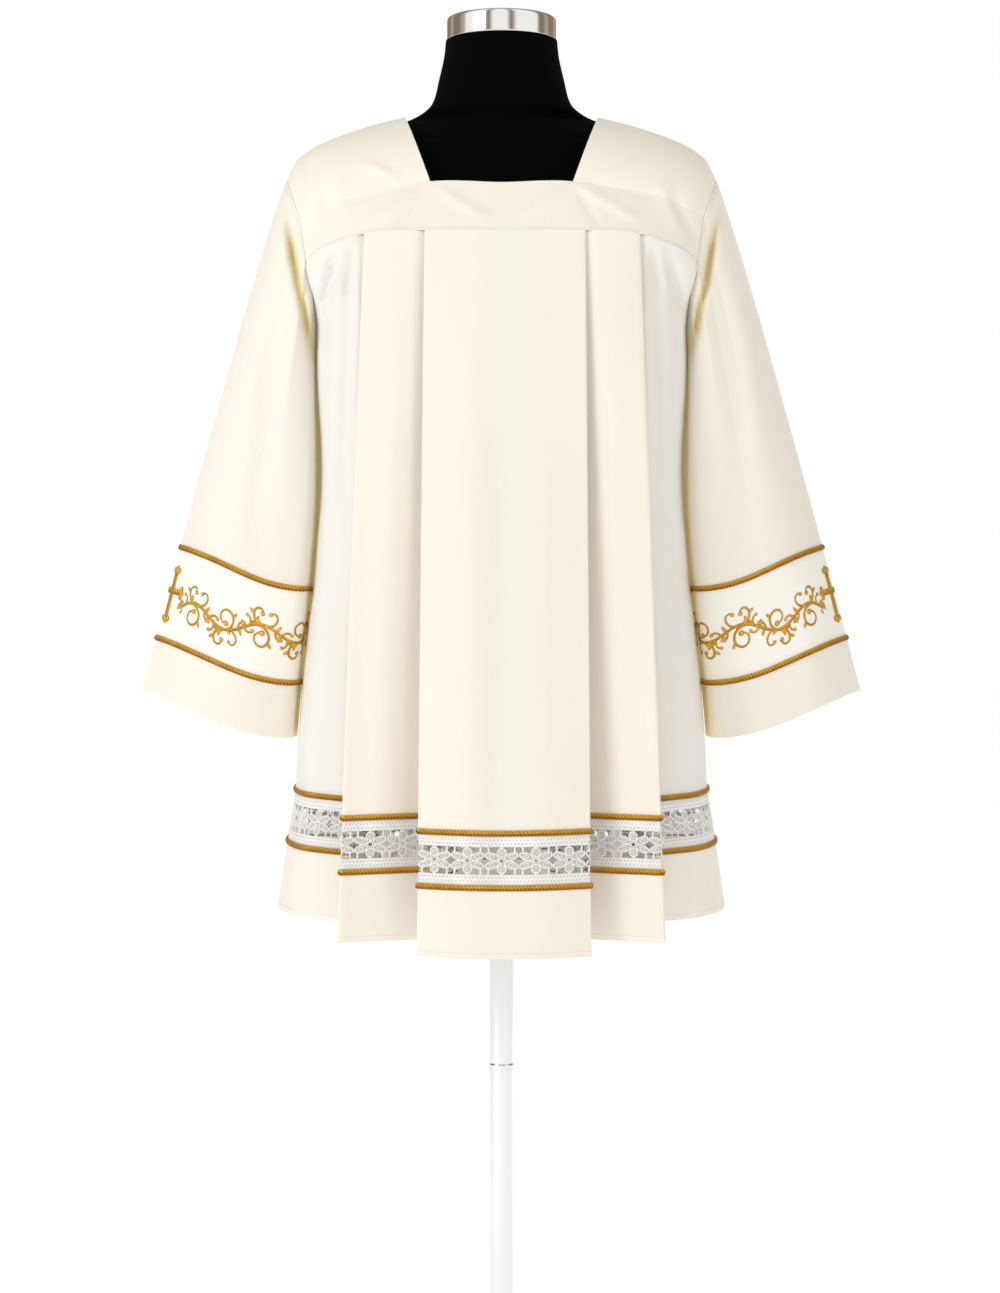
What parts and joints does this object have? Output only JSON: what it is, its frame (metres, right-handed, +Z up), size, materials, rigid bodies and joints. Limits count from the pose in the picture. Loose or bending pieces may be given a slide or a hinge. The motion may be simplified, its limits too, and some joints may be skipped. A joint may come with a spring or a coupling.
{
  "type": "pleated surplice on a limbless dress form",
  "caption": "Cream pleated surplice with a square yoke, bell sleeves, lace insertion and gold cords, hanging open on a limbless dress form with a round base.",
  "frame": {"origin": "on the floor, at the middle of the underside of the stand's base", "axes": "+Z up, the wearer's front faces -Y and the wearer's left side is at +X"},
  "size_m": [0.7544, 0.4212, 1.5545],
  "materials": {
    "cream_cloth": "smooth plain-woven cream cloth, matt, doubled where it is pleated",
    "white_lace": "open-work guipure lace insertion with dense woven edges",
    "gold_cord": "twisted metallic gold cord and satin-stitch embroidery",
    "black_jersey": "close black stretch jersey",
    "chrome": "polished chrome",
    "black_metal": "satin black powder coat"
  },
  "bodies": {
    "root": {"yoke_back": "cream_cloth", "yoke_front": "cream_cloth", "shoulder_left": "cream_cloth", "shoulder_right": "cream_cloth", "body_back": "cream_cloth", "body_front": "cream_cloth", "lace_back": "white_lace", "lace_front": "white_lace", "hem_back": "cream_cloth", "hem_front": "cream_cloth", "hem_cord_upper_back": "gold_cord", "hem_cord_upper_front": "gold_cord", "hem_cord_lower_back": "gold_cord", "hem_cord_lower_front": "gold_cord", "sleeve_left": "cream_cloth", "sleeve_right": "cream_cloth", "sleeve_band_left": "cream_cloth", "sleeve_band_right": "cream_cloth", "cuff_left": "cream_cloth", "cuff_right": "cream_cloth", "sleeve_cord_upper_left": "gold_cord", "sleeve_cord_upper_right": "gold_cord", "sleeve_cord_lower_left": "gold_cord", "sleeve_cord_lower_right": "gold_cord", "form_torso": "black_jersey", "form_neck_cap": "chrome", "form_pole": "chrome", "form_base": "black_metal"}
  },
  "joints": []
}
